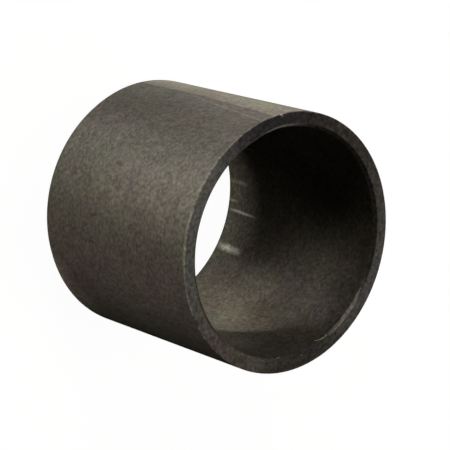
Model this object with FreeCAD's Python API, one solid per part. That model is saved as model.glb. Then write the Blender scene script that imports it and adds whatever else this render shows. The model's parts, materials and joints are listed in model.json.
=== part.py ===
"""Plastic plain bearing: a short, thin-walled sleeve made in one piece.

A shaft turns in its bore, and its outside is pressed into a housing. The whole
form is one wall section turned about the bore's axis. One end has a shallow
outer chamfer that leads the sleeve into its housing, and the other end is plain,
with a rounded outer edge and a small chamfer at the mouth of the bore.

Frame: the origin is the centre of the lead-in end's face, and +Z runs along the
bore's axis to the plain end. The sleeve stands on its lead-in end.
Lengths are in millimetres and angles in degrees.
"""

import FreeCAD, Part
import math
import os

# Fits and length, as the bearing is ordered
BORE_DIAMETER = 30.0
WALL_THICKNESS = 2.0
LENGTH = 30.0

# Lead-in end: the long, shallow chamfer that starts the press fit
LEAD_IN_LENGTH = 0.8
LEAD_IN_ANGLE = 30.0
LEAD_IN_BORE_RADIUS = 0.1

# Plain end: the mouth of the bore and the outer edge
MOUTH_CHAMFER = 0.4
OUTER_EDGE_RADIUS = 0.1

# Nick in the plain end's outer edge, a V cut across the rounded edge
NICK_WIDTH = 0.5
NICK_DEPTH = 0.12
NICK_DIRECTION = 206.5

# What follows from those sizes
BORE_RADIUS = BORE_DIAMETER / 2
OUTER_RADIUS = BORE_RADIUS + WALL_THICKNESS
LEAD_IN_DEPTH = LEAD_IN_LENGTH * math.tan(math.radians(LEAD_IN_ANGLE))

# How far the middle of a quarter circle lies from both sides of the corner it rounds
CORNER_GIVE = 1 - math.cos(math.radians(45))

AXIS_BASE = FreeCAD.Vector(0, 0, 0)
AXIS_DIRECTION = FreeCAD.Vector(0, 0, 1)
FULL_TURN = 360


def section_point(radius, height):
    """A point of the wall section, which lies in the XZ plane."""
    return FreeCAD.Vector(radius, 0, height)


def edge_crown():
    """The middle of the plain end's rounded outer edge."""
    give = OUTER_EDGE_RADIUS * CORNER_GIVE
    return section_point(OUTER_RADIUS - give, LENGTH - give)


def straight_run(points):
    """The straight edges that join a row of section points."""
    return [Part.makeLine(a, b) for a, b in zip(points, points[1:])]


def wall_section():
    """The wall's section as a face, walked up the outside and down the bore."""
    foot_outer = section_point(OUTER_RADIUS - LEAD_IN_DEPTH, 0)
    lead_in_top = section_point(OUTER_RADIUS, LEAD_IN_LENGTH)
    wall_top = section_point(OUTER_RADIUS, LENGTH - OUTER_EDGE_RADIUS)
    rim_outer = section_point(OUTER_RADIUS - OUTER_EDGE_RADIUS, LENGTH)
    rim_inner = section_point(BORE_RADIUS + MOUTH_CHAMFER, LENGTH)
    bore_top = section_point(BORE_RADIUS, LENGTH - MOUTH_CHAMFER)
    bore_foot = section_point(BORE_RADIUS, LEAD_IN_BORE_RADIUS)
    foot_inner = section_point(BORE_RADIUS + LEAD_IN_BORE_RADIUS, 0)

    # Two corners are quarter circles: the plain end's outer edge and the bore's foot
    give = LEAD_IN_BORE_RADIUS * CORNER_GIVE
    foot_middle = section_point(BORE_RADIUS + give, give)

    edges = straight_run([foot_inner, foot_outer, lead_in_top, wall_top])
    edges.append(Part.Arc(wall_top, edge_crown(), rim_outer).toShape())
    edges += straight_run([rim_outer, rim_inner, bore_top, bore_foot])
    edges.append(Part.Arc(bore_foot, foot_middle, foot_inner).toShape())
    return Part.Face(Part.Wire(edges))


def turned_sleeve():
    """The wall section turned once about the bore's axis."""
    return wall_section().revolve(AXIS_BASE, AXIS_DIRECTION, FULL_TURN)


def edge_nick():
    """The solid that cuts the nick: a V whose root slopes at 45 degrees across the edge."""
    slope = FreeCAD.Vector(1, 0, -1).normalize()
    outward = FreeCAD.Vector(1, 0, 1).normalize()
    sideways = FreeCAD.Vector(0, 1, 0)
    # The V starts outside the rounded edge, so that it cuts through all of its curve
    above = OUTER_EDGE_RADIUS
    flare = NICK_WIDTH / 2 * (NICK_DEPTH + above) / NICK_DEPTH
    run = 2 * (OUTER_EDGE_RADIUS + NICK_DEPTH)
    start = edge_crown() - slope * (run / 2)
    root = start - outward * NICK_DEPTH
    left = start + outward * above + sideways * flare
    right = start + outward * above - sideways * flare
    outline = Part.makePolygon([root, left, right, root])
    cutter = Part.Face(outline).extrude(slope * run)
    cutter.rotate(AXIS_BASE, AXIS_DIRECTION, NICK_DIRECTION)
    return cutter


def bearing_sleeve():
    """The finished bearing, one solid."""
    return turned_sleeve().cut(edge_nick()).Solids[0]


def main():
    """Writes the bearing's STEP file and prints what it measures."""
    os.makedirs("parts", exist_ok=True)
    sleeve = bearing_sleeve()
    sleeve.exportStep("parts/bearing_sleeve.step")
    box = sleeve.optimalBoundingBox()
    print("bearing_sleeve", sleeve.ShapeType, "valid", sleeve.isValid())
    print("solids", len(sleeve.Solids), "volume mm3", round(sleeve.Volume, 2))
    print("size mm", round(box.XLength, 3), round(box.YLength, 3), round(box.ZLength, 3))


main()
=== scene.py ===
"""Plastic plain bearing, dressed for the eye.

One moulded sleeve of charcoal nylon stands on its lead-in end, plain end up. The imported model
gives its radii and length. This script adds softened and slightly ragged edges, the nick, the
shavings that the edge tool left, and the finishes of the outside, the faced end and the bore.

Places on the sleeve are given in two numbers. A bearing is the angle round the axis in degrees,
from +X towards +Y. A height is in millimetres above the end that the sleeve stands on.
"""

import json
import logging
import math
from dataclasses import dataclass
from enum import Enum

import bmesh
import bpy
from mathutils import Matrix, Vector, noise


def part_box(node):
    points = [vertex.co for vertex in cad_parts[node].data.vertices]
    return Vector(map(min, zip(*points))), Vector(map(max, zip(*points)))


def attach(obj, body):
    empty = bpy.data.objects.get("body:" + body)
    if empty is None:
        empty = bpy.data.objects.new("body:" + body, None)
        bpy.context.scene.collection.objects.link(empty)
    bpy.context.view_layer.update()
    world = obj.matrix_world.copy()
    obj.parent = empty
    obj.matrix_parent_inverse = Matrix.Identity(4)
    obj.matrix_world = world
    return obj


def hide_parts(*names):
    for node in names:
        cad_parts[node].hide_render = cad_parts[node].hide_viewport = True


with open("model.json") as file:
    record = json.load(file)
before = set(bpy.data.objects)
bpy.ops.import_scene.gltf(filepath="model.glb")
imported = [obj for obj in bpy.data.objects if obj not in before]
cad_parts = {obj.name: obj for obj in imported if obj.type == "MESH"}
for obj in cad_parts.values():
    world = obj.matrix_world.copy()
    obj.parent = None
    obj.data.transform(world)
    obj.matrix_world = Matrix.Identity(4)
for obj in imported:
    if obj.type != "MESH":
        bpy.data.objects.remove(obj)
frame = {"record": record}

LOG = logging.getLogger("bearing")

NODE = "bearing_sleeve"
MM = 0.001

WHITE = "#ffffff"
WARM_WHITE = "#fffaef"
PAPER_WHITE = "#e8e8e8"
GLINT_GREY = "#a49d90"

# A patch reaches at least this far in and out, in mm, so that the wall's curve stays inside it
PATCH_DEPTH = 6.0

# A band of painted reflection is even over this share of its width, and grows in over this height
# in mm
BAND_EVEN_SHARE = 0.6
BAND_GROWTH = 7.0

# Nylon: its refractive index, and how far the filler moves its roughness and its gloss
NYLON_IOR = 1.53
ROUGHNESS_SWING = 0.10
SPECULAR_SWING = 0.4

# Nearly all of a noise lies between these two values. Finer octaves count for this share
NOISE_LOW, NOISE_HIGH = 0.3, 0.7
OCTAVE_SHARE = 0.55
GRAIN_DETAIL = 1.5
BLOTCH_DETAIL = 2.0

# The hue swings on green and blue alone, so that it doesn't follow the brightness
GREEN_SWING = 1.5
BLUE_SWING = 0.9

# Painted glints: pale dots that stand in for the glass fibre's sparkle. They lie this far apart in
# mm. Each is solid and then gone at these shares of that distance
GLINT_SPACING = 0.8
GLINT_CORE, GLINT_EDGE = 0.04, 0.17

# A quarter turn sets the gloss across the tool marks, which run round the axis
ACROSS_MARKS = 0.25

# Edge waves: how many there are to a millimetre, and their share of the wander
EDGE_WAVES = ((1.3, 0.6), (3.7, 0.4))

# The softboxes point at the middle of the sleeve, this high in mm
AIM_HEIGHT = 15.0

# The floor is cut into this many squares each way
FLOOR_SQUARES = 8

# A sliver tapers at both ends, and its bulk and its line waver along the way
SLIVER_STEPS = 20
TAPER_START, TAPER_RUN, TAPER_POWER = 0.06, 0.92, 0.6
BULK_WAVER, BULK_RATE, BULK_SEED = 1.2, 2.3, 7.0
LINE_WAVER, LINE_RATE, LINE_SEED = 0.9, 1.7, 3.0

Socket = bpy.types.NodeSocket
Tree = bpy.types.NodeTree


class Surface(Enum):
    """The surfaces of the sleeve that were made in different ways, by material slot."""

    OUTSIDE = 0
    FACED_END = 1
    BORE = 2
    ROUNDED_EDGE = 3
    SCRAPED_MOUTH = 4
    SHAVING = 5


def linear_rgb(code: str) -> tuple[float, float, float, float]:
    """Turns an sRGB hex colour into linear values.

    Args:
        code: the colour as "#rrggbb".
    Returns:
        Linear red, green and blue, with an alpha of 1.
    """
    levels = [int(code[i : i + 2], 16) / 255 for i in (1, 3, 5)]
    linear = [v / 12.92 if v <= 0.04045 else ((v + 0.055) / 1.055) ** 2.4 for v in levels]
    return (linear[0], linear[1], linear[2], 1.0)


def per_metre(feature_mm: float) -> float:
    """Gives the texture scale at which one feature is this many millimetres wide."""
    return 1 / (feature_mm * MM)


def around(bearing: float, radius: float, height: float) -> Vector:
    """Places a point by its bearing in degrees, with radius and height in millimetres."""
    turn = math.radians(bearing)
    return Vector((radius * math.cos(turn), radius * math.sin(turn), height)) * MM


def add_node(
    tree: Tree,
    kind: str,
    settings: dict[str | int, object] | None = None,
    links: dict[str | int, Socket] | None = None,
) -> bpy.types.Node:
    """Adds one node with its settings and its incoming links.

    Args:
        tree: the node tree of a material or a world.
        kind: the node's type name.
        settings: values by attribute name, or by the name or number of an input.
        links: output sockets by the name or number of the input that they feed.
    Returns:
        The new node.
    """
    node = tree.nodes.new(kind)
    for name, value in (settings or {}).items():
        if isinstance(name, str) and hasattr(node, name):
            setattr(node, name, value)
        else:
            node.inputs[name].default_value = value
    for name, socket in (links or {}).items():
        tree.links.new(socket, node.inputs[name])
    return node


@dataclass(frozen=True)
class Patch:
    """A soft-edged place on the sleeve where the finish differs. It serves for real marks and for
    painted light and shade.

    The patch is an ellipsoid about a point of the wall, so it follows the curve. It is solid
    inside `core`, a share of its size, and fades out from there to its edge. `ragged` is how much
    the plastic's mottle breaks up that edge, and `lean` tilts the patch by degrees.
    """

    bearing: float
    height: float
    width: float
    tall: float
    colour: str
    strength: float = 1.0
    core: float = 0.0
    ragged: float = 0.0
    lean: float = 0.0

    def mask(self, tree: Tree, place: Socket, radius: float, grain: Socket) -> Socket:
        """Draws the patch as a mask.

        Args:
            tree: the material's node tree.
            place: the object coordinates.
            radius: the wall's radius in millimetres.
            grain: a noise value that breaks up the patch's edge.
        Returns:
            A socket that is `strength` inside the patch and 0 outside.
        """
        local = add_node(
            tree,
            "ShaderNodeMapping",
            {
                "vector_type": "TEXTURE",
                "Location": around(self.bearing, radius, self.height),
                "Rotation": (math.radians(self.lean), 0.0, math.radians(self.bearing)),
                "Scale": Vector(
                    (max(self.width, PATCH_DEPTH), self.width / 2, self.tall / 2)
                ) * MM,
            },
            {"Vector": place},
        )
        reach = add_node(
            tree, "ShaderNodeVectorMath", {"operation": "LENGTH"}, {0: local.outputs[0]}
        ).outputs["Value"]
        if self.ragged:
            reach = add_node(
                tree,
                "ShaderNodeMath",
                {"operation": "MULTIPLY_ADD", 1: self.ragged},
                {0: grain, 2: reach},
            ).outputs[0]
        # The grain is 0.5 on average, so the edge moves out by half of what the grain can add
        edge = 1.0 + self.ragged / 2
        return add_node(
            tree,
            "ShaderNodeMapRange",
            {
                "interpolation_type": "SMOOTHSTEP",
                "From Min": self.core,
                "From Max": edge,
                "To Min": self.strength,
                "To Max": 0.0,
            },
            {"Value": reach},
        ).outputs[0]


@dataclass(frozen=True)
class PaintedReflectionBand:
    """A painted reflection: a band along the wall that starts at a crisp line and turns to another
    colour.

    The band lies on the side of smaller bearings. The line is straight up to `veer_above`, and
    has veered by `veer` millimetres at the plain end. The band fades in from `above` upwards.
    """

    line_bearing: float
    width: float
    colour: str
    strength: float
    veer: float = 0.0
    veer_above: float = 14.0
    softness: float = 0.12
    above: float = -9.0

    def mask(self, tree: Tree, place: Socket, radius: float, length: float) -> Socket:
        """Draws the band as a mask.

        Args:
            tree: the material's node tree.
            place: the object coordinates.
            radius: the wall's radius in millimetres.
            length: the sleeve's length in millimetres.
        Returns:
            A socket that is `strength` in the band and 0 outside.
        """
        local = add_node(
            tree,
            "ShaderNodeMapping",
            {
                "vector_type": "TEXTURE",
                "Location": around(self.line_bearing, radius, 0.0),
                "Rotation": (0.0, 0.0, math.radians(self.line_bearing)),
                "Scale": (MM, MM, MM),
            },
            {"Vector": place},
        )
        axes = add_node(tree, "ShaderNodeSeparateXYZ", links={0: local.outputs[0]})
        shift = add_node(
            tree,
            "ShaderNodeMapRange",
            {"From Min": self.veer_above, "From Max": length, "To Min": 0.0, "To Max": self.veer},
            {"Value": axes.outputs["Z"]},
        )
        side = add_node(
            tree,
            "ShaderNodeMath",
            {"operation": "SUBTRACT"},
            {0: shift.outputs[0], 1: axes.outputs["Y"]},
        )
        start = add_node(
            tree,
            "ShaderNodeMapRange",
            {"interpolation_type": "SMOOTHSTEP", "From Min": 0.0, "From Max": self.softness},
            {"Value": side.outputs[0]},
        )
        end = add_node(
            tree,
            "ShaderNodeMapRange",
            {
                "interpolation_type": "SMOOTHSTEP",
                "From Min": self.width * BAND_EVEN_SHARE,
                "From Max": self.width,
                "To Min": self.strength,
                "To Max": 0.0,
            },
            {"Value": side.outputs[0]},
        )
        # The same distance to the line is met again on the far side of the sleeve
        near = add_node(
            tree,
            "ShaderNodeMath",
            {"operation": "GREATER_THAN", 1: -radius},
            {0: axes.outputs["X"]},
        )
        grown = add_node(
            tree,
            "ShaderNodeMapRange",
            {
                "interpolation_type": "SMOOTHSTEP",
                "From Min": self.above,
                "From Max": self.above + BAND_GROWTH,
            },
            {"Value": axes.outputs["Z"]},
        )
        share = start.outputs[0]
        for part in (end, near, grown):
            share = add_node(
                tree,
                "ShaderNodeMath",
                {"operation": "MULTIPLY"},
                {0: share, 1: part.outputs[0]},
            ).outputs[0]
        return share


@dataclass(frozen=True)
class Swing:
    """How far one size of mottle moves the plastic's colour, in light and in hue."""

    light: float
    hue: float


GRAIN_SWING = Swing(light=1.6, hue=0.25)
BLOTCH_SWING = Swing(light=0.7, hue=0.2)
CLOUD_SWING = Swing(light=0.42, hue=0.28)


@dataclass(frozen=True)
class FilledNylon:
    """Nylon filled with short glass fibre and solid lubricant, moulded against worn steel.

    The filler shows as a fine pepper-and-salt mottle, and its flow leaves soft reddish and
    green-grey clouds a few millimetres wide. The skin is matt to satin.

    The filler's real grain is well under 0.1 mm, which is less than the 0.13 mm that a pixel
    covers. It is drawn at `grain_mm`, the finest size that shows.
    """

    name: str
    base: str
    radius: float
    length: float
    roughness: float = 0.42
    specular: float = 0.5
    grain_mm: float = 0.24
    blotch_mm: float = 0.75
    cloud_mm: float = 2.6
    mottle: float = 1.0
    hue: float = 1.0
    glints: float = 0.3
    relief_mm: float = 0.014
    anisotropy: float = 0.0
    patches: tuple[Patch, ...] = ()
    reflection_bands: tuple[PaintedReflectionBand, ...] = ()

    def build(self) -> bpy.types.Material:
        """Builds the material.

        Returns:
            The finished material.
        """
        material = bpy.data.materials.new(self.name)
        material.use_nodes = True
        tree = material.node_tree
        shader = tree.nodes["Principled BSDF"]
        place = add_node(tree, "ShaderNodeTexCoord").outputs["Object"]
        grain = self.noise(tree, place, self.grain_mm, GRAIN_DETAIL)
        blotch = self.noise(tree, place, self.blotch_mm, BLOTCH_DETAIL)
        cloud = self.noise(tree, place, self.cloud_mm, BLOTCH_DETAIL)
        body = add_node(tree, "ShaderNodeRGB")
        body.outputs[0].default_value = linear_rgb(self.base)
        colour = body.outputs[0]
        for patch in self.patches:
            mask = patch.mask(tree, place, self.radius, blotch.outputs["Fac"])
            colour = self.tinted(tree, colour, mask, patch.colour)
        for band in self.reflection_bands:
            mask = band.mask(tree, place, self.radius, self.length)
            colour = self.tinted(tree, colour, mask, band.colour)
        colour = self.mottled(tree, place, colour, (grain, blotch, cloud))
        tree.links.new(colour, shader.inputs["Base Color"])
        rough = add_node(
            tree,
            "ShaderNodeMapRange",
            {
                "To Min": self.roughness + ROUGHNESS_SWING,
                "To Max": self.roughness - ROUGHNESS_SWING,
            },
            {"Value": blotch.outputs["Fac"]},
        )
        tree.links.new(rough.outputs[0], shader.inputs["Roughness"])
        shader.inputs["IOR"].default_value = NYLON_IOR
        shine = add_node(
            tree,
            "ShaderNodeMapRange",
            {
                "From Min": NOISE_LOW,
                "From Max": NOISE_HIGH,
                "To Min": self.specular * (1 - SPECULAR_SWING),
                "To Max": self.specular * (1 + SPECULAR_SWING),
            },
            {"Value": grain.outputs["Fac"]},
        )
        tree.links.new(shine.outputs[0], shader.inputs["Specular IOR Level"])
        if self.anisotropy:
            shader.inputs["Anisotropic"].default_value = self.anisotropy
            shader.inputs["Anisotropic Rotation"].default_value = ACROSS_MARKS
            ring = add_node(tree, "ShaderNodeTangent", {"direction_type": "RADIAL", "axis": "Z"})
            tree.links.new(ring.outputs[0], shader.inputs["Tangent"])
        bump = add_node(
            tree,
            "ShaderNodeBump",
            {"Strength": 1.0, "Distance": self.relief_mm * MM},
            {"Height": grain.outputs["Fac"]},
        )
        tree.links.new(bump.outputs[0], shader.inputs["Normal"])
        return material

    @staticmethod
    def noise(tree: Tree, place: Socket, feature_mm: float, detail: float) -> bpy.types.Node:
        """Adds a noise, one wave of which is a light feature and a dark one.

        Args:
            tree: the material's node tree.
            place: the object coordinates.
            feature_mm: how wide a feature is, in millimetres.
            detail: how many finer octaves it has.
        Returns:
            The noise node.
        """
        return add_node(
            tree,
            "ShaderNodeTexNoise",
            {"Scale": per_metre(feature_mm * 2), "Detail": detail, "Roughness": OCTAVE_SHARE},
            {"Vector": place},
        )

    def mottled(
        self, tree: Tree, place: Socket, colour: Socket, noises: tuple[bpy.types.Node, ...]
    ) -> Socket:
        """Lays the filler's mottle, its clouds and its painted glints over the plastic's colour.

        Args:
            tree: the material's node tree.
            place: the object coordinates.
            colour: the colour so far.
            noises: the fine grain, the blotches and the clouds.
        Returns:
            The colour socket.
        """
        for source, swing in zip(noises, (GRAIN_SWING, BLOTCH_SWING, CLOUD_SWING)):
            power = swing.light * self.mottle / 2
            exponent = add_node(
                tree,
                "ShaderNodeMapRange",
                {"clamp": False, "To Min": -power, "To Max": power},
                {"Value": source.outputs["Fac"]},
            )
            shade = add_node(
                tree, "ShaderNodeMath", {"operation": "EXPONENT"}, {0: exponent.outputs[0]}
            )
            shaded = add_node(
                tree,
                "ShaderNodeVectorMath",
                {"operation": "SCALE"},
                {0: colour, "Scale": shade.outputs[0]},
            )
            green = swing.hue * self.hue * GREEN_SWING
            blue = swing.hue * self.hue * BLUE_SWING
            hue = add_node(
                tree,
                "ShaderNodeVectorMath",
                {
                    "operation": "MULTIPLY_ADD",
                    1: (0.0, green, blue),
                    2: (1.0, 1 - green / 2, 1 - blue / 2),
                },
                {0: source.outputs["Color"]},
            )
            colour = add_node(
                tree,
                "ShaderNodeVectorMath",
                {"operation": "MULTIPLY"},
                {0: shaded.outputs[0], 1: hue.outputs[0]},
            ).outputs[0]
        # Painted glints: pale dots that stand in for the glass fibre's sparkle
        cells = add_node(
            tree,
            "ShaderNodeTexVoronoi",
            {"Scale": per_metre(GLINT_SPACING)},
            {"Vector": place},
        )
        dots = add_node(
            tree,
            "ShaderNodeMapRange",
            {
                "From Min": GLINT_CORE,
                "From Max": GLINT_EDGE,
                "To Min": self.glints,
                "To Max": 0.0,
            },
            {"Value": cells.outputs["Distance"]},
        )
        return self.tinted(tree, colour, dots.outputs[0], GLINT_GREY)

    @staticmethod
    def tinted(tree: Tree, colour: Socket, mask: Socket, code: str) -> Socket:
        """Moves a colour towards another one where a mask is set.

        Args:
            tree: the material's node tree.
            colour: the colour so far.
            mask: how far to move, from 0 to 1.
            code: the other colour, as sRGB hex.
        Returns:
            The new colour socket.
        """
        return add_node(
            tree,
            "ShaderNodeMix",
            {"data_type": "RGBA", 7: linear_rgb(code)},
            {0: mask, 6: colour},
        ).outputs[2]


@dataclass(frozen=True)
class Corner:
    """One rounded corner of the wall's section.

    The arc starts and ends `tangent` millimetres from the corner. `bend` is the surface on the
    arc, and `after` is the one that follows it.
    """

    radius: float
    height: float
    tangent: float
    bend: Surface
    after: Surface


@dataclass(frozen=True)
class Shaving:
    """A sliver of plastic that still hangs on an edge where the edge tool left it.

    It is a thin tapered ribbon that lies along `span` degrees of the edge. At its free end it has
    bent up by `lift` and in by `inward`.
    """

    bearing: float
    radius: float
    height: float
    span: float
    width: float
    thick: float
    lift: float
    inward: float

    def ring(self, t: float) -> list[Vector]:
        """Draws the sliver's section at one place along it.

        Args:
            t: the place, from 0 at the root to 1 at the free end.
        Returns:
            The four corners of the section.
        """
        bearing = self.bearing + self.span * (t - 0.5)
        bulk = math.sin(math.pi * min(t * TAPER_RUN + TAPER_START, 1.0)) ** TAPER_POWER
        bulk *= 1 + BULK_WAVER * noise.noise(
            Vector((bearing * BULK_RATE, self.height, BULK_SEED))
        )
        sway = LINE_WAVER * noise.noise(Vector((bearing * LINE_RATE, self.height, LINE_SEED)))
        radius = self.radius - self.inward * t**2 + sway * self.width
        height = self.height + self.lift * t**2
        half, thick = self.width * bulk / 2, self.thick * bulk / 2
        corners = ((-half, 0), (0, thick), (half, 0), (0, -thick))
        return [around(bearing, radius + a, height + b) for a, b in corners]

    def add_to(self, mesh: bmesh.types.BMesh) -> None:
        """Adds the sliver to the sleeve's mesh.

        Args:
            mesh: the sleeve's mesh in the making.
        """
        loops = [
            [mesh.verts.new(corner) for corner in self.ring(step / SLIVER_STEPS)]
            for step in range(SLIVER_STEPS + 1)
        ]
        sides = len(loops[0])
        for lower, upper in zip(loops, loops[1:]):
            for k in range(sides):
                after = (k + 1) % sides
                face = mesh.faces.new((lower[k], lower[after], upper[after], upper[k]))
                face.material_index = Surface.SHAVING.value
                face.smooth = True
        for cap in (loops[0][::-1], loops[-1]):
            mesh.faces.new(cap).material_index = Surface.SHAVING.value


@dataclass(frozen=True)
class Scrape:
    """A stretch of the mouth where the scraping tool went deeper.

    It is deepest in its middle. A `fullness` below 1 keeps it deep for longer towards its ends.
    """

    bearing: float
    half_span: float
    depth: float
    fullness: float = 0.7

    def depth_at(self, turn: float) -> float:
        """Gives the extra depth at a bearing in degrees."""
        share = 1 - abs(math.remainder(turn - self.bearing, 360)) / self.half_span
        return self.depth * max(0.0, share) ** self.fullness


@dataclass
class Sleeve:
    """The moulded sleeve: one wall section turned about the bore's axis.

    Sizes are in millimetres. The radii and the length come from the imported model. A flat stretch
    of the section has a first and a last row `arc_border` from its rounded corners, so that smooth
    shading doesn't bend it. A scrape drops the mouth's edge by `scrape_drop` of its depth.
    """

    bore_radius: float
    outer_radius: float
    length: float
    lead_in_length: float = 0.8
    lead_in_angle: float = 30.0
    lead_in_bore_edge: float = 0.1
    lead_in_foot_edge: float = 0.06
    lead_in_top_edge: float = 0.15
    mouth_chamfer: float = 0.4
    mouth_outer_edge: float = 0.03
    mouth_inner_edge: float = 0.08
    outer_edge: float = 0.1
    segments: int = 900
    wall_rows: int = 24
    end_rings: int = 8
    chamfer_rows: int = 3
    arc_steps: int = 4
    arc_border: float = 0.05
    edge_wander: float = 0.02
    edge_wander_reach: float = 0.4
    scrape_drop: float = 0.6
    nick_bearing: float = 206.5
    nick_width: float = 0.5
    nick_depth: float = 0.2
    scrapes: tuple[Scrape, ...] = ()
    shavings: tuple[Shaving, ...] = ()

    def corners(self) -> list[Corner]:
        """Lists the section's corners.

        Returns:
            The corners, up the outside and down the bore.
        """
        lead_in_depth = self.lead_in_length * math.tan(math.radians(self.lead_in_angle))
        out, bore, top = self.outer_radius, self.bore_radius, self.length
        outside, running = Surface.OUTSIDE, Surface.BORE
        faced, mouth = Surface.FACED_END, Surface.SCRAPED_MOUTH
        return [
            Corner(bore, 0.0, self.lead_in_bore_edge, running, faced),
            Corner(out - lead_in_depth, 0.0, self.lead_in_foot_edge, outside, outside),
            Corner(out, self.lead_in_length, self.lead_in_top_edge, outside, outside),
            Corner(out, top, self.outer_edge, Surface.ROUNDED_EDGE, faced),
            Corner(bore + self.mouth_chamfer, top, self.mouth_outer_edge, mouth, mouth),
            Corner(bore, top - self.mouth_chamfer, self.mouth_inner_edge, running, running),
        ]

    def rows_between(self, start: Corner, end: Corner) -> int:
        """Says how many rows a stretch of the section is cut into.

        Args:
            start: the corner before it.
            end: the corner after it.
        Returns:
            The number of rows.
        """
        if abs(end.height - start.height) > self.length / 2:
            return self.wall_rows
        return self.end_rings if start.after is Surface.FACED_END else self.chamfer_rows

    def section(self) -> list[tuple[float, float, Surface]]:
        """Draws the section with softened corners.

        Returns:
            Its points in order, each a radius, a height and the surface that follows it.
        """
        corners = self.corners()
        count = len(corners)
        points: list[tuple[float, float, Surface]] = []
        for i, corner in enumerate(corners):
            here = Vector((corner.radius, corner.height))
            before = Vector((corners[i - 1].radius, corners[i - 1].height))
            follower = corners[(i + 1) % count]
            after = Vector((follower.radius, follower.height))
            to_before, to_after = (before - here).normalized(), (after - here).normalized()
            start, end = here + to_before * corner.tangent, here + to_after * corner.tangent
            steps = self.arc_steps
            pull = math.sqrt((1 - to_before.dot(to_after)) / 2)
            for step in range(steps):
                t = step / steps
                ends, middle = (1 - t) ** 2 + t**2, 2 * t * (1 - t) * pull
                spot = (start * (1 - t) ** 2 + here * middle + end * t**2) / (ends + middle)
                points.append((spot.x, spot.y, corner.bend))
            points.append((end.x, end.y, corner.after))
            rows = self.rows_between(corner, follower)
            stop = after - to_after * follower.tangent
            edge = min(self.arc_border / (stop - end).length, 0.5 / rows)
            for share in (edge, *(row / rows for row in range(1, rows)), 1 - edge):
                spot = end.lerp(stop, share)
                points.append((spot.x, spot.y, corner.after))
        return points

    def shifted(self, radius: float, height: float, turn: float) -> Vector:
        """Moves one point of the ideal sleeve to where wear and handling left it.

        Args:
            radius: the ideal radius.
            height: the ideal height.
            turn: the bearing in radians.
        Returns:
            The point, in millimetres.
        """
        direction = Vector((math.cos(turn), math.sin(turn), 0.0))
        spot = direction * radius + Vector((0, 0, height))
        spot += self.edge_wander_at(spot, direction)
        spot += self.nick(spot, turn)
        return spot

    def edge_wander_at(self, spot: Vector, direction: Vector) -> Vector:
        """Gives the small waves of the two edges at the plain end.

        The outer edge wanders by moulding and handling. The mouth was scraped by hand, so its
        chamfer also grows wider over a part of the turn.

        Args:
            spot: the point, in millimetres.
            direction: the unit vector out from the axis.
        Returns:
            The shift in millimetres.
        """
        from_top = self.length - spot.z
        radius = spot.xy.length
        outer_gap = math.hypot(self.outer_radius - radius, from_top)
        inner_gap = math.hypot(radius - self.bore_radius, from_top)
        outer_share = max(0.0, 1 - outer_gap / self.edge_wander_reach)
        inner_share = max(0.0, 1 - inner_gap / (2 * self.mouth_chamfer))
        wave = sum(noise.noise(spot * rate) * share for rate, share in EDGE_WAVES)
        drift = self.edge_wander * wave
        turn = math.degrees(math.atan2(spot.y, spot.x)) % 360
        extra = sum(scrape.depth_at(turn) for scrape in self.scrapes)
        inner = direction * (drift + extra) - Vector((0, 0, extra * self.scrape_drop))
        outer = (direction + Vector((0, 0, 1))) * -abs(drift)
        return outer * outer_share + inner * inner_share

    def nick(self, spot: Vector, turn: float) -> Vector:
        """Gives the V-shaped nick in the plain end's outer edge.

        Args:
            spot: the point, in millimetres.
            turn: its bearing in radians.
        Returns:
            The shift in millimetres, into the plastic.
        """
        offset = turn - math.radians(self.nick_bearing)
        across = abs(math.remainder(offset, math.tau)) * self.outer_radius
        opening = max(0.0, 1 - across / (self.nick_width / 2))
        # The middle of a rounded corner lies about a third of its radius in from both sides
        corner_gap = math.hypot(
            spot.xy.length - self.outer_radius + self.outer_edge / 3,
            spot.z - self.length + self.outer_edge / 3,
        )
        closeness = max(0.0, 1 - corner_gap / (2 * self.nick_depth))
        inward = Vector((-math.cos(turn), -math.sin(turn), -1.0)).normalized()
        return inward * (self.nick_depth * opening * min(1.0, closeness * 2))

    def build(self) -> bpy.types.Object:
        """Builds the sleeve's mesh and its object.

        Returns:
            The sleeve, each face given the slot number of its surface, with no slots yet.
        """
        mesh = bmesh.new()
        points = self.section()
        turns = [math.tau * i / self.segments for i in range(self.segments)]
        rings = [[mesh.verts.new(self.shifted(r, h, t) * MM) for r, h, _ in points] for t in turns]
        count = len(points)
        for i, ring in enumerate(rings):
            beside = rings[(i + 1) % self.segments]
            for k in range(count):
                after = (k + 1) % count
                face = mesh.faces.new((ring[k], beside[k], beside[after], ring[after]))
                face.material_index = points[k][2].value
                face.smooth = True
        for shaving in self.shavings:
            shaving.add_to(mesh)
        bmesh.ops.recalc_face_normals(mesh, faces=mesh.faces)
        data = bpy.data.meshes.new("bearing_sleeve_dressed")
        mesh.to_mesh(data)
        mesh.free()
        sleeve = bpy.data.objects.new("moulded_sleeve", data)
        bpy.context.scene.collection.objects.link(sleeve)
        return sleeve

    def dress(self, sleeve: bpy.types.Object) -> None:
        """Fills the sleeve's material slots.

        Args:
            sleeve: the object that build() made.
        """
        finishes = {
            Surface.OUTSIDE: self.outside_finish(),
            Surface.FACED_END: self.faced_finish(),
            Surface.BORE: self.bore_finish(),
            Surface.ROUNDED_EDGE: self.edge_finish(),
            Surface.SCRAPED_MOUTH: self.mouth_finish(),
            Surface.SHAVING: self.shaving_finish(),
        }
        for surface in Surface:
            sleeve.data.materials.append(finishes[surface].build())

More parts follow.
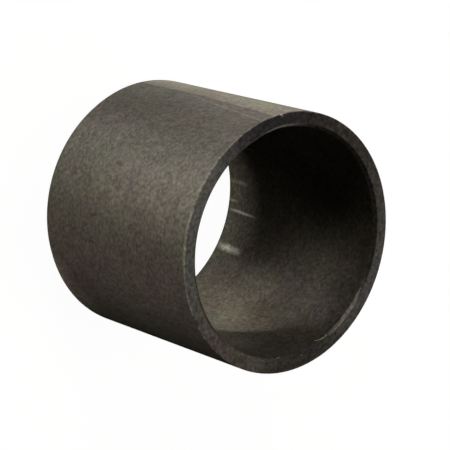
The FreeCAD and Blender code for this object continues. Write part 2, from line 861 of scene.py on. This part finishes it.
    def outside_finish(self) -> FilledNylon:
        """The moulded outside, with painted light where the lamps fall and a pale band of painted
        reflection.

        Returns:
            The finish.
        """
        return FilledNylon(
            name="moulded_nylon_outside",
            base="#524f47",
            radius=self.outer_radius,
            length=self.length,
            hue=0.85,
            glints=0.5,
            patches=(
                # Painted light: a paler place where the side lamps fall fullest on the wall
                Patch(-94.0, 28.0, 15.0, 66.0, "#726e65", 0.88, core=0.1),
                # Painted light: a paler place near the plain end
                Patch(-136.0, 27.0, 10.0, 40.0, "#69645b", 0.5),
                Patch(-50.0, 15.0, 19.0, 90.0, "#57504b", 0.9, core=0.3),
                # Painted highlight along the plain end's outer edge
                Patch(-92.0, 29.9, 32.0, 0.9, "#8a8378", 0.6, core=0.5, ragged=0.6),
            ),
            reflection_bands=(
                # Painted reflection: these bands lay the pale strip of light along the wall, with
                # its crisp edge
                PaintedReflectionBand(-149.9, 10.0, "#675f58", 0.4, veer=2.26, above=11.0),
                PaintedReflectionBand(-149.8, 0.5, "#857d73", 0.6, veer=2.26, softness=0.25, above=12.0),
                PaintedReflectionBand(-153.5, 10.0, "#54473f", 0.75, veer=2.25, softness=0.5, above=9.0),
                PaintedReflectionBand(-154.1, 10.0, "#989185", 0.9, veer=1.3),
                PaintedReflectionBand(-155.0, 10.0, "#d3ccbf", 0.75, veer=1.35, softness=3.5),
            ),
        )

    def faced_finish(self) -> FilledNylon:
        """The plain end: cut across on a lathe, so it is darker and its tool marks run round.

        Returns:
            The finish.
        """
        return FilledNylon(
            name="faced_nylon_end",
            base="#39332d",
            radius=self.outer_radius,
            length=self.length,
            roughness=0.32,
            specular=0.9,
            anisotropy=0.75,
            mottle=1.6,
            hue=1.6,
            # Painted highlight and painted shade: paler and darker places that follow the lamps'
            # gloss on the end
            patches=(
                Patch(-17.0, 30.0, 24.0, 6.0, "#736c64", 0.75, core=0.3),
                Patch(-90.0, 30.0, 15.0, 6.0, "#332d21", 0.9, core=0.3),
                Patch(180.0, 30.0, 14.0, 6.0, "#4d463e", 0.8, core=0.3),
                Patch(-150.0, 30.0, 26.0, 6.0, "#343138", 0.8, core=0.3),
            ),
        )

    def bore_finish(self) -> FilledNylon:
        """The running surface: moulded on a polished core, scuffed where a shaft was started, with
        painted light and shade in three broad places.

        Returns:
            The finish.
        """
        # Painted light and painted shade: two paler places and a darker one in the lit part of the
        # bore
        painted_light_and_shade = (
            Patch(59.5, 24.0, 9.5, 14.0, "#66615a", 0.9, core=0.2),
            Patch(14.0, 21.5, 8.0, 9.0, "#66615a", 0.9, core=0.2),
            Patch(49.0, 16.3, 8.0, 9.0, "#413d36", 0.9, core=0.2),
        )
        scuffs = (
            Patch(78.1, 2.9, 1.7, 7.4, "#e0ddd6", 0.9, core=0.35, ragged=1.1, lean=4.0),
            Patch(98.8, 3.2, 0.65, 8.8, "#bdb9b2", 0.85, core=0.35, ragged=0.7, lean=3.0),
            Patch(104.2, 0.8, 0.6, 3.6, "#8a867e", 0.7, core=0.3, ragged=0.7),
            Patch(114.8, 2.3, 1.0, 6.4, "#8a867e", 0.75, core=0.3, ragged=0.9),
            Patch(137.4, 6.3, 0.5, 3.4, "#8a867e", 0.7, core=0.3, ragged=0.7),
            Patch(79.8, 7.9, 0.32, 0.5, "#c4604a", 0.9, core=0.4),
            Patch(82.9, 27.0, 0.35, 0.35, "#8a867e", 0.8, core=0.4),
        )
        return FilledNylon(
            name="moulded_nylon_bore",
            base="#4f4b43",
            radius=self.bore_radius,
            length=self.length,
            roughness=0.55,
            specular=0.2,
            mottle=1.05,
            patches=(*painted_light_and_shade, *scuffs),
        )

    def edge_finish(self) -> FilledNylon:
        """The rounded outer edge: knocked in handling, so its skin is bruised a little paler, and
        paler again as a painted highlight.

        Returns:
            The finish.
        """
        return FilledNylon(
            name="bruised_nylon_edge_painted_highlight",
            base="#7c7770",
            radius=self.outer_radius,
            length=self.length,
            mottle=2.2,
            hue=0.4,
            patches=(Patch(self.nick_bearing, 29.9, 0.6, 1.0, "#b8b1a6", core=0.4),),
            roughness=0.5,
            blotch_mm=0.6,
        )

    def mouth_finish(self) -> FilledNylon:
        """The mouth's chamfer: scraped by hand, so it is rough. It is darker, partly as painted
        shade, but for pale burrs that are partly painted highlights.

        Returns:
            The finish.
        """
        return FilledNylon(
            name="scraped_nylon_mouth",
            # Darker partly as painted shade in the chamfer
            base="#2b2824",
            radius=self.bore_radius,
            length=self.length,
            # Pale burrs, which also lay painted highlights where the lamps catch the chamfer
            patches=(
                Patch(66.0, 29.8, 11.0, 3.0, "#98948e", 0.9, core=0.4, ragged=0.9),
                Patch(-153.5, 29.8, 9.5, 3.0, "#b9b2aa", 0.85, core=0.4, ragged=0.9),
                Patch(-8.0, 29.8, 22.0, 3.0, "#736d64", 0.8, core=0.4, ragged=0.6),
            ),
            roughness=0.55,
            blotch_mm=0.6,
            mottle=1.3,
        )

    def shaving_finish(self) -> FilledNylon:
        """The loose slivers: stretched thin, so they have gone pale.

        Returns:
            The finish.
        """
        return FilledNylon(
            name="stretched_nylon_shaving",
            base="#aeaba6",
            radius=self.bore_radius,
            length=self.length,
            roughness=0.5,
        )


def hang(
    lamp: bpy.types.Light, target: Vector, bearing: float, elevation: float, distance: float
) -> bpy.types.Object:
    """Hangs a warm white lamp and turns it towards its target.

    Args:
        lamp: the lamp's data.
        target: the point that it shines at, in metres.
        bearing: where it stands as seen from the target, in degrees.
        elevation: how high it stands as seen from the target, in degrees.
        distance: how far it is from the target, in metres.
    Returns:
        The lamp's object.
    """
    turn, climb = math.radians(bearing), math.radians(elevation)
    out = Vector((math.cos(turn) * math.cos(climb), math.sin(turn) * math.cos(climb), 0.0))
    out.z = math.sin(climb)
    lamp.color = linear_rgb(WARM_WHITE)[:3]
    lamp.cycles.use_multiple_importance_sampling = False
    holder = bpy.data.objects.new(lamp.name, lamp)
    holder.location = target + out * distance
    holder.rotation_euler = (-out).to_track_quat("-Z", "Y").to_euler()
    bpy.context.scene.collection.objects.link(holder)
    return holder


@dataclass(frozen=True)
class Softbox:
    """A soft studio lamp, placed by where it stands as seen from the sleeve.

    The level is the light that it gives a surface facing it, as a share of the light at which a
    colour renders as it is written.
    """

    name: str
    bearing: float
    elevation: float
    width: float
    height: float
    level: float
    distance: float = 0.60

    def place(self) -> None:
        """Hangs the lamp round the middle of the sleeve."""
        lamp = bpy.data.lights.new(self.name, "AREA")
        lamp.shape = "RECTANGLE"
        lamp.size, lamp.size_y = self.width, self.height
        # An area lamp of P watts lights what faces it at a level of P / (pi * distance)^2
        lamp.energy = self.level * (math.pi * self.distance) ** 2
        middle = around(0.0, 0.0, AIM_HEIGHT)
        hang(lamp, middle, self.bearing, self.elevation, self.distance)


@dataclass(frozen=True)
class SnootedSpot:
    """A narrow spot with a snoot, which puts a crisp patch of light in the bore.

    It is placed by where it stands as seen from its target. The level is meant as for a softbox.
    """

    name: str
    bearing: float
    elevation: float
    target: Vector
    cone: float
    level: float
    blend: float = 0.6
    distance: float = 0.60
    size: float = 0.004

    def place(self) -> None:
        """Hangs the spot and turns it towards its target."""
        lamp = bpy.data.lights.new(self.name, "SPOT")
        lamp.spot_size = math.radians(self.cone)
        lamp.spot_blend = self.blend
        lamp.shadow_soft_size = self.size
        # A spot sends P watts all round, so its level is P / (2 * pi * distance)^2
        lamp.energy = self.level * (2 * math.pi * self.distance) ** 2
        holder = hang(lamp, self.target, self.bearing, self.elevation, self.distance)
        # So small a source would glare on the wall when it is seen edge on
        holder.visible_glossy = False


@dataclass(frozen=True)
class Viewpoint:
    """The camera, placed in millimetres in the sleeve's frame."""

    place_mm: tuple[float, float, float] = (0.03, -179.30, 219.75)
    look_down: float = 48.488
    roll: float = -106.461
    focal_mm: float = 164.41
    sensor_mm: float = 36.0
    clip_start: float = 0.01

    def build(self) -> None:
        """Makes the camera and hands it to the scene."""
        lens = bpy.data.cameras.new("viewpoint")
        lens.lens = self.focal_mm
        lens.sensor_width = self.sensor_mm
        lens.clip_start = self.clip_start
        holder = bpy.data.objects.new("viewpoint", lens)
        tilt = Matrix.Rotation(math.radians(90.0 - self.look_down), 3, "X")
        spin = Matrix.Rotation(-math.radians(self.roll), 3, "Z")
        holder.rotation_euler = (tilt @ spin).to_euler()
        holder.location = Vector(self.place_mm) * MM
        bpy.context.scene.collection.objects.link(holder)
        bpy.context.scene.camera = holder


@dataclass(frozen=True)
class Studio:
    """The pale sheet that the sleeve stands on, the lamps and the camera.

    The sheet is thin paper on an open frame. Some lamps stand beside it and above it, and others
    stand below it and shine up through it into the sleeve's open end.
    """

    floor_half_width: float = 1.5
    floor_paint: str = "#555554"
    shown_white: float = 0.85
    shown_level: float = 1.14
    boxes: tuple[Softbox, ...] = (
        Softbox("side_window", 262.5, -9.5, 0.25, 0.13, 0.51),
        Softbox("side_fill", 300.0, -2.0, 0.16, 0.12, 0.026),
        Softbox("back_window", 78.0, 0.0, 0.30, 0.10, 0.24),
        Softbox("mouth_fill", 240.0, 16.0, 0.16, 0.12, 0.045),
        Softbox("key_softbox", 211.0, 35.0, 0.17, 0.14, 0.175),
        Softbox("under_strip_front", 229.0, -46.0, 0.32, 0.13, 0.12),
        Softbox("under_strip_left", 196.0, -35.0, 0.16, 0.13, 0.062),
        Softbox("under_strip_rear", 155.0, -46.0, 0.20, 0.13, 0.03),
        Softbox("overhead", 132.5, 80.0, 0.16, 0.16, 0.12),
        Softbox("top_fill", 80.5, 62.0, 0.20, 0.16, 0.056),
        Softbox("low_fill", 132.0, 25.0, 0.20, 0.12, 0.03),
    )
    spots: tuple[SnootedSpot, ...] = (
        SnootedSpot(
            "bore_spot_near", 260.5, -43.7, around(25.5, 15.0, 13.2), 0.9, 1.8, size=0.0025
        ),
        SnootedSpot("bore_spot_far", 260.5, -43.7, around(41.5, 15.0, 7.3), 1.25, 1.75),
        SnootedSpot("bore_spot_mouth", 250.0, 40.0, around(75.0, 15.0, 20.0), 1.5, 0.32, 1.0),
    )

    def build(self) -> None:
        """Sets out the whole studio."""
        self.build_floor()
        self.build_world()
        for lamp in (*self.boxes, *self.spots):
            lamp.place()
        Viewpoint().build()

    def build_floor(self) -> None:
        """Lays the floor: pale paper that the camera sees as white, with the sleeve's shadow."""
        mesh = bmesh.new()
        bmesh.ops.create_grid(
            mesh,
            x_segments=FLOOR_SQUARES,
            y_segments=FLOOR_SQUARES,
            size=self.floor_half_width,
        )
        data = bpy.data.meshes.new("studio_floor")
        mesh.to_mesh(data)
        mesh.free()
        floor = bpy.data.objects.new("studio_floor", data)
        bpy.context.scene.collection.objects.link(floor)
        material = bpy.data.materials.new("pale_paper")
        material.use_nodes = True
        tree = material.node_tree
        tree.nodes.clear()
        ray = add_node(tree, "ShaderNodeLightPath")
        tone = add_node(
            tree,
            "ShaderNodeMix",
            {"data_type": "RGBA", 6: linear_rgb(self.floor_paint), 7: linear_rgb(PAPER_WHITE)},
            {0: ray.outputs["Is Camera Ray"]},
        )
        paper = add_node(tree, "ShaderNodeBsdfDiffuse", links={"Color": tone.outputs[2]})
        glow = {"Color": linear_rgb(WHITE), "Strength": self.shown_level}
        white = add_node(tree, "ShaderNodeEmission", glow)
        share = add_node(
            tree,
            "ShaderNodeMath",
            {"operation": "MULTIPLY", 1: self.shown_white},
            {0: ray.outputs["Is Camera Ray"]},
        )
        mix = add_node(
            tree,
            "ShaderNodeMixShader",
            links={0: share.outputs[0], 1: paper.outputs[0], 2: white.outputs[0]},
        )
        add_node(tree, "ShaderNodeOutputMaterial", links={"Surface": mix.outputs[0]})
        data.materials.append(material)
        floor.visible_shadow = False

    def build_world(self) -> None:
        """Fills the space round the sleeve: white to the camera, and dark as a light."""
        world = bpy.data.worlds.new("studio_world")
        bpy.context.scene.world = world
        world.use_nodes = True
        tree = world.node_tree
        tree.nodes.clear()
        ray = add_node(tree, "ShaderNodeLightPath")
        sky = add_node(
            tree,
            "ShaderNodeBackground",
            {"Color": linear_rgb(WHITE)},
            {"Strength": ray.outputs["Is Camera Ray"]},
        )
        add_node(tree, "ShaderNodeOutputWorld", links={"Surface": sky.outputs[0]})


def measured_sleeve() -> Sleeve:
    """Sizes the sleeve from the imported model.

    Returns:
        The sleeve's builder, with its radii and length in millimetres.
    """
    low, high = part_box(NODE)
    bore = next(m for m in frame["record"]["mounts"] if m["name"] == "bore")
    return Sleeve(
        bore_radius=bore["dims"]["r_mm"],
        outer_radius=round((high.x - low.x) / 2 / MM, 2),
        length=round((high.z - low.z) / MM, 2),
        scrapes=(Scrape(-153.5, 15.0, 0.22),),
        shavings=(
            Shaving(44.5, 15.2, 29.74, -9.5, 0.19, 0.10, 0.05, 0.62),
            Shaving(62.0, 15.3, 29.93, 25.0, 0.10, 0.06, 0.02, 0.05),
            Shaving(76.0, 15.2, 29.80, 6.0, 0.09, 0.06, 0.02, 0.08),
            Shaving(29.5, 15.45, 29.96, 1.6, 0.18, 0.12, 0.03, 0.05),
            Shaving(15.5, 15.1, 29.70, 2.6, 0.20, 0.14, 0.06, 0.16),
            Shaving(-33.5, 16.96, 29.98, 1.4, 0.20, 0.14, 0.06, -0.03),
        ),
    )


def main() -> None:
    """Builds the sleeve and the studio, and reports each."""
    logging.basicConfig(level=logging.INFO, format="%(name)s: %(message)s")
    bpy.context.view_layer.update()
    builder = measured_sleeve()
    sleeve = builder.build()
    builder.dress(sleeve)
    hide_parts(NODE)
    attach(sleeve, "root")
    LOG.info("%s: %d faces, %d finishes", sleeve.name, len(sleeve.data.polygons), len(Surface))
    Studio().build()
    bpy.context.scene.view_settings.view_transform = "Standard"
    LOG.info("studio: floor, lamps and camera")


if __name__ == "__main__":
    main()
